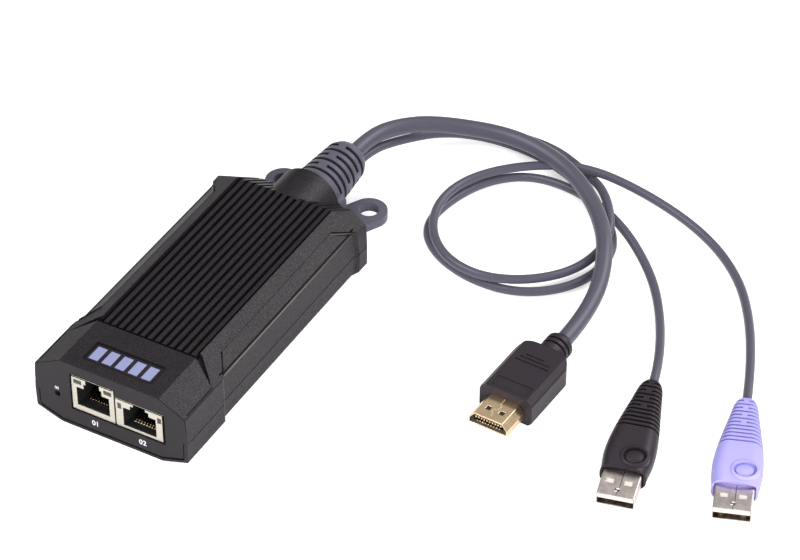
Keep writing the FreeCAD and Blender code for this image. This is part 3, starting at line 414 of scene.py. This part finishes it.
for nodeName, finish in nodeFinishes.items():
    dress(nodes[nodeName], finish)
for piece in cordPieces:
    dress(piece, "cord")
print("finishes set on", len(nodeFinishes), "pieces and", len(cordPieces), "cords")


def addPiece(mesh, name, finish):
    piece = bpy.data.objects.new(name, mesh)
    scene.collection.objects.link(piece)
    dress(piece, finish)
    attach(piece, body)


# Printed numbers on the socket face
numbers = {
    "thickness": 0.00004,
    "face": -0.0735,
    "heightOfSize": 0.7,
    "boldness": 0.03,
    "marks": [("01", -0.0060, 0.0037, 0.0019), ("02", 0.0114, 0.0035, 0.0019),
              ("00", -0.01985, 0.0130, 0.0011)],
}


def makeNumber(text, x, z, height, name, settings):
    font = bpy.data.curves.new(name, "FONT")
    font.body = text
    font.align_x = "CENTER"
    font.size = height / settings["heightOfSize"]
    font.extrude = settings["thickness"] / 2
    font.offset = height * settings["boldness"]
    flat = bpy.data.objects.new(name + "Flat", font)
    mesh = bpy.data.meshes.new_from_object(flat)
    bpy.data.objects.remove(flat)
    place = Matrix.Translation((x, settings["face"] - settings["thickness"] / 2, z))
    mesh.transform(place @ Matrix.Rotation(math.pi / 2, 4, "X"))
    mesh.name = name
    addPiece(mesh, name, "print")


for count, mark in enumerate(numbers["marks"]):
    makeNumber(*mark, "number" + str(count), numbers)
print("numbers printed")


# Simple forms that the pieces below are made of, and the making of a piece from them
def addBar(shape, x0, x1, y0, y1, z, lift):
    made = bmesh.ops.create_cube(shape, size=1)
    bmesh.ops.scale(shape, verts=made["verts"], vec=(x1 - x0, y1 - y0, lift))
    bmesh.ops.translate(shape, verts=made["verts"],
                        vec=((x0 + x1) / 2, (y0 + y1) / 2, z + lift / 2))


def addDisc(shape, x, y, width, length, z, lift, sides=20):
    made = bmesh.ops.create_cone(shape, cap_ends=True, segments=sides, radius1=0.5, radius2=0.5,
                                 depth=1)
    bmesh.ops.scale(shape, verts=made["verts"], vec=(width, length, lift))
    bmesh.ops.translate(shape, verts=made["verts"], vec=(x, y, z + lift / 2))


def addRod(shape, start, end, radius, sides=12):
    start, end = Vector(start), Vector(end)
    made = bmesh.ops.create_cone(shape, cap_ends=True, segments=sides, radius1=radius,
                                 radius2=radius, depth=(end - start).length)
    turn = (end - start).to_track_quat("Z", "Y").to_matrix().to_4x4()
    bmesh.ops.transform(shape, matrix=Matrix.Translation((start + end) / 2) @ turn,
                        verts=made["verts"])


def placeMesh(shape, name, place=Matrix()):
    mesh = bpy.data.meshes.new(name)
    shape.to_mesh(mesh)
    shape.free()
    mesh.transform(place)
    return mesh


def layPiece(shape, name, finish, place=Matrix(), smooth=False):
    mesh = placeMesh(shape, name, place)
    for face in mesh.polygons:
        face.use_smooth = smooth
    addPiece(mesh, name, finish)


# Plain bars in the badge recess, and a dark trim line round it
badge = {
    "count": 5, "pitch": 0.0048, "width": 0.0033, "depth": 0.0060, "lift": 0.00012,
    "middleY": -0.0645, "floorZ": 0.0250,
    "trimY": -0.06445, "trimHalfX": 0.0127, "trimHalfY": 0.00455, "trimRound": 0.0011,
    "trimWidth": 0.00035, "trimHeight": 0.00044,
}


def makeBars(settings):
    shape = bmesh.new()
    half = settings["width"] / 2
    for k in range(settings["count"]):
        x = (k - (settings["count"] - 1) / 2) * settings["pitch"]
        addBar(shape, x - half, x + half, settings["middleY"] - settings["depth"] / 2,
               settings["middleY"] + settings["depth"] / 2, settings["floorZ"], settings["lift"])
    layPiece(shape, "badgeBars", "badge")


def roundedLoop(halfX, halfY, radius, steps=5):
    points = []
    for quarter, (sideX, sideY) in enumerate(((1, 1), (-1, 1), (-1, -1), (1, -1))):
        for k in range(steps + 1):
            angle = math.pi / 2 * (quarter + k / steps)
            points.append((sideX * (halfX - radius) + radius * math.cos(angle),
                           sideY * (halfY - radius) + radius * math.sin(angle)))
    return points


def makeTrim(settings):
    shape = bmesh.new()
    loops = []
    for cut in (0, settings["trimWidth"]):
        points = roundedLoop(settings["trimHalfX"] - cut, settings["trimHalfY"] - cut,
                             settings["trimRound"] - cut)
        loops.append([shape.verts.new((x, settings["trimY"] + y, settings["floorZ"]))
                      for x, y in points])
    outer, inner = loops
    count = len(outer)
    faces = [shape.faces.new((outer[k], outer[(k + 1) % count], inner[(k + 1) % count], inner[k]))
             for k in range(count)]
    raised = bmesh.ops.extrude_face_region(shape, geom=faces, use_keep_orig=True)
    top = [part for part in raised["geom"] if isinstance(part, bmesh.types.BMVert)]
    bmesh.ops.translate(shape, verts=top, vec=(0, 0, settings["trimHeight"]))
    bmesh.ops.recalc_face_normals(shape, faces=shape.faces)
    layPiece(shape, "badgeTrim", "trim")


makeBars(badge)
makeTrim(badge)
print("badge bars and trim laid")

# Painted shade in the gaps beside the sockets; painted highlights on the right socket's contact
# ends
socketGapShade = {
    "face": -0.0735,
    "lift": 0.00006,
    "bars": [(0.01918, 0.01990, 0.0078, 0.0190), (0.00180, 0.01990, 0.01872, 0.01905),
             (-0.0144, 0.0012, 0.02102, 0.02135)],
}
# painted highlight: pale, not metal, bars at the contacts' front ends stand for light reaching in
contactTipHighlights = {
    "count": 8, "pitch": 0.001016, "middleX": 0.01030, "width": 0.00042,
    "front": -0.0701, "back": -0.0696, "bottomZ": 0.00765, "height": 0.00075,
}


# painted shade: near-black bars laid just proud of the face where the gaps are in shade
def makeGaps(settings):
    shape = bmesh.new()
    for x0, x1, z0, z1 in settings["bars"]:
        addBar(shape, x0, x1, settings["face"] - settings["lift"], settings["face"], z0, z1 - z0)
    layPiece(shape, "socketGapShade", "paintedShadeBlack")


# painted highlight on the contacts' ends, in the right socket only
def makeTips(settings):
    shape = bmesh.new()
    half = settings["width"] / 2
    for k in range(settings["count"]):
        x = settings["middleX"] + (k - (settings["count"] - 1) / 2) * settings["pitch"]
        addBar(shape, x - half, x + half, settings["front"], settings["back"], settings["bottomZ"],
               settings["height"])
    layPiece(shape, "contactTipHighlights", "paintedTipHighlight")


makeGaps(socketGapShade)
makeTips(contactTipHighlights)
print("socket gaps and contact tips laid")

# Thin rods along the edges of the waist and the front rim, the same on both sides: the dark ones
# are painted shade in creases, steps and under the rim, the pale ones painted highlights on the
# ridges;
# a line on the facet runs from x, y to x, y and takes its height from the slope
edgeLines = {
    "ridge": (0.0182, 0.0255),
    "fall": 0.5376,
    "pieces": {
        # painted shade: near-black rods in the waist's steps and along the front block's edges
        "waistCreaseShade": {
            "finish": "paintedCreaseShade",
            "onFacet": [(0.0222, -0.0433, 0.0267, -0.0499, 0.00024),
                        (0.0222, 0.0240, 0.0269, 0.0306, 0.00022),
                        (0.0222, -0.0433, 0.0222, 0.0240, 0.00007)],
            "edges": [((0.02755, -0.0731, 0.02046), (0.02755, -0.0520, 0.02046), 0.00011),
                      ((0.01830, -0.0734, 0.02542), (0.02748, -0.0734, 0.02048), 0.00012),
                      ((0.02748, -0.0734, 0.02048), (0.02784, -0.0734, 0.01480), 0.00012)],
        },
        # painted highlight: paler, glossier rods along the waist ridge and the front block's rear
        # edge
        "waistHighlightBeads": {
            "finish": "paintedHighlightBead",
            "onFacet": [(0.02235, 0.0233, 0.0266, 0.0293, 0.00012)],
            "edges": [((0.02662, -0.0495, 0.01999), (0.02662, 0.0299, 0.01999), 0.00018),
                      ((0.02747, -0.05106, 0.0204), (0.02806, -0.05194, 0.0106), 0.00008),
                      ((0.02806, -0.05194, 0.0106), (0.02786, -0.05165, 0.00325), 0.00008)],
        },
        # painted shade: wide dark rods low on the socket face, along the shaded undercut above the
        # rim
        "rimShade": {
            "finish": "paintedShadeBlack",
            "onFacet": [],
            "edges": [((0.0, -0.0730, 0.00133), (0.0187, -0.0730, 0.00133), 0.0006),
                      ((0.0187, -0.0730, 0.00133), (0.0264, -0.0730, 0.0040), 0.0006)],
        },
    },
}


def facetPoint(x, y, settings):
    ridgeX, ridgeZ = settings["ridge"]
    return x, y, ridgeZ - (x - ridgeX) * settings["fall"]


def makeEdgeLines(name, piece, settings):
    lines = [(facetPoint(x0, y0, settings), facetPoint(x1, y1, settings), radius)
             for x0, y0, x1, y1, radius in piece["onFacet"]] + piece["edges"]
    shape = bmesh.new()
    for side in (-1, 1):
        for start, end, radius in lines:
            addRod(shape, (side * start[0], *start[1:]), (side * end[0], *end[1:]), radius)
    layPiece(shape, name, piece["finish"], smooth=True)


for name, piece in edgeLines["pieces"].items():
    makeEdgeLines(name, piece, edgeLines)
print("waist creases, beads and rim shade laid")

# Seams and light spots on the plugs' shells and the shade under their tongues, each in its plug's
# own place
plugPlaces = {
    "black": {"tip": (0.1505, -0.02495, -0.00065), "turn": 13.7, "tilt": 2.0},
    "violet": {"tip": (0.18445, -0.01435, 0.0008), "turn": 19.8, "tilt": -2.0},
}
shellMarks = {
    "middleZ": 0.0049,
    "topZ": 0.00715,
    "lift": 0.00004,
    "seams": [(0.0005, 0.0039, 0.0108), (0.0001, 0.0002, 0.0013)],
    "seamWidth": 0.00022,
    "lock": (0.0, 0.0026, 0.0015, 0.0021),
    "lights": [(0.0001, 0.0031, 0.0012, 0.0007), (-0.0003, 0.0020, 0.0010, 0.0006)],
    "underZ": 0.00486,
    "unders": [(-0.0056, -0.00405), (-0.00295, -0.00155), (-0.00045, 0.00045), (0.00155, 0.00295),
               (0.00405, 0.0056)],
    "underReach": (0.0007, 0.0090),
}
videoMarks = {
    "place": {"tip": (0.10075, -0.01405, 0.0), "turn": -3.0, "tilt": 0.0},
    "middleZ": 0.0050,
    "topZ": 0.00723,
    "lift": 0.00003,
    "bars": [(-0.0001, 0.0001, 0.0078, 0.0104), (-0.0001, 0.0008, 0.0076, 0.0078),
             (0.0006, 0.0008, 0.0050, 0.0078), (-0.0008, 0.0008, 0.0048, 0.0050),
             (-0.0008, -0.0006, 0.0034, 0.0050), (-0.0008, 0.0001, 0.0032, 0.0034),
             (-0.0001, 0.0001, 0.0018, 0.0034)],
}


def plugMatrix(plug, middleZ):
    down = Matrix.Translation((0, 0, -middleZ))
    up = Matrix.Translation((0, 0, middleZ))
    tilt = Matrix.Rotation(math.radians(plug["tilt"]), 4, "X")
    turn = Matrix.Rotation(math.radians(plug["turn"]), 4, "Z")
    return Matrix.Translation(plug["tip"]) @ turn @ up @ tilt @ down


def makeShellMarks(name, plug, marks):
    place = plugMatrix(plug, marks["middleZ"])
    z, lift, half = marks["topZ"], marks["lift"], marks["seamWidth"] / 2
    dark = bmesh.new()
    for x, y0, y1 in marks["seams"]:
        addBar(dark, x - half, x + half, y0, y1, z, lift)
    x, y, width, length = marks["lock"]
    addDisc(dark, x, y, width, length, z, lift)
    layPiece(dark, name + "ShellSeam", "seam", place)
    pale = bmesh.new()
    for x, y, width, length in marks["lights"]:
        addDisc(pale, x, y, width, length, z + lift, lift)
    layPiece(pale, name + "ShellLights", "palePlastic", place)
    under = bmesh.new()
    near, deep = marks["underReach"]
    for x0, x1 in marks["unders"]:
        addBar(under, x0, x1, near, deep, marks["underZ"], lift)
    layPiece(under, name + "TongueShade", "underTongue", place)


def makeVideoSeam(marks):
    shape = bmesh.new()
    for x0, x1, y0, y1 in marks["bars"]:
        addBar(shape, x0, x1, y0, y1, marks["topZ"], marks["lift"])
    place = plugMatrix(marks["place"], marks["middleZ"])
    layPiece(shape, "videoShellSeam", "paleSeam", place)


for name, plug in plugPlaces.items():
    makeShellMarks(name, plug, shellMarks)
makeVideoSeam(videoMarks)
print("shell marks laid")

# Floor, sky and lights
studio = {
    "floor": {"size": 8.0, "color": (0.86, 0.86, 0.87), "roughness": 0.9, "specular": 0.1,
              "glow": 0.5, "fade": (0.7, 2.4)},
    "flag": {"ends": ((-1.25, 0.25), (0.25, 1.30)), "height": 0.55,
             "color": (0.02, 0.02, 0.02), "roughness": 0.9, "specular": 0.5},
    "sky": 0.45,
    "aim": (0.06, 0.02, 0.0),
    "lamps": [
        {"name": "keyLamp", "place": (-0.9, -0.5, 1.6), "size": 1.2, "power": 20.0,
         "glares": True},
        {"name": "sideLamp", "place": (0.9, -0.8, 0.5), "size": 0.6, "power": 20.0,
         "glares": False},
        {"name": "backLamp", "place": (0.85, 1.2, 1.2), "size": 1.2, "power": 16.0,
         "glares": True},
    ],
}


def makeSurround(shape, name, settings):
    made = bpy.data.objects.new(name, placeMesh(shape, name))
    scene.collection.objects.link(made)
    material = bpy.data.materials.new(name)
    material.use_nodes = True
    shader = material.node_tree.nodes["Principled BSDF"]
    shader.inputs["Base Color"].default_value = (*settings["color"], 1)
    shader.inputs["Roughness"].default_value = settings["roughness"]
    shader.inputs["Specular IOR Level"].default_value = settings["specular"]
    made.data.materials.append(material)
    return made


def makeFloor(settings):
    shape = bmesh.new()
    bmesh.ops.create_grid(shape, x_segments=1, y_segments=1, size=settings["size"])
    floor = makeSurround(shape, "floor", settings)
    tree = floor.active_material.node_tree
    shader = tree.nodes["Principled BSDF"]
    shader.inputs["Emission Color"].default_value = (1, 1, 1, 1)
    # far off, where the lamps fade, the floor glows more, so that its edge doesn't show
    coords = tree.nodes.new("ShaderNodeTexCoord")
    far = tree.nodes.new("ShaderNodeVectorMath")
    far.operation = "LENGTH"
    feed(tree, far.inputs[0], coords.outputs["Object"])
    fade = rangeNode(tree, far.outputs["Value"], settings["glow"], 1, *settings["fade"])
    path = tree.nodes.new("ShaderNodeLightPath")
    glow = mathNode(tree, "MULTIPLY", path.outputs["Is Camera Ray"], fade)
    feed(tree, shader.inputs["Emission Strength"], glow)


def makeFlag(settings):
    # a dark card low at the back left, which only shows in the shine of faces that look that way
    shape = bmesh.new()
    (x0, y0), (x1, y1) = settings["ends"]
    height = settings["height"]
    corners = [(x0, y0, 0), (x1, y1, 0), (x1, y1, height), (x0, y0, height)]
    shape.faces.new([shape.verts.new(corner) for corner in corners])
    flag = makeSurround(shape, "flag", settings)
    flag.visible_camera = False
    flag.visible_shadow = False
    flag.visible_diffuse = False


def makeSky(strength):
    world = bpy.data.worlds.new("studio")
    scene.world = world
    world.use_nodes = True
    tree = world.node_tree
    background = tree.nodes["Background"]
    background.inputs["Color"].default_value = (1, 1, 1, 1)
    path = tree.nodes.new("ShaderNodeLightPath")
    feed(tree, background.inputs["Strength"],
         rangeNode(tree, path.outputs["Is Camera Ray"], strength, 1))


def makeLamp(lamp, aim):
    data = bpy.data.lights.new(lamp["name"], "AREA")
    data.shape = "SQUARE"
    data.size = lamp["size"]
    data.energy = lamp["power"]
    made = bpy.data.objects.new(lamp["name"], data)
    made.location = lamp["place"]
    made.rotation_euler = (Vector(aim) - made.location).to_track_quat("-Z", "Y").to_euler()
    # the low lamp would glare on the flat tops from the far side
    made.visible_glossy = lamp["glares"]
    scene.collection.objects.link(made)


makeFloor(studio["floor"])
makeFlag(studio["flag"])
makeSky(studio["sky"])
for lamp in studio["lamps"]:
    makeLamp(lamp, studio["aim"])
scene.view_settings.view_transform = "Standard"
print("studio lit")

bpy.context.view_layer.update()
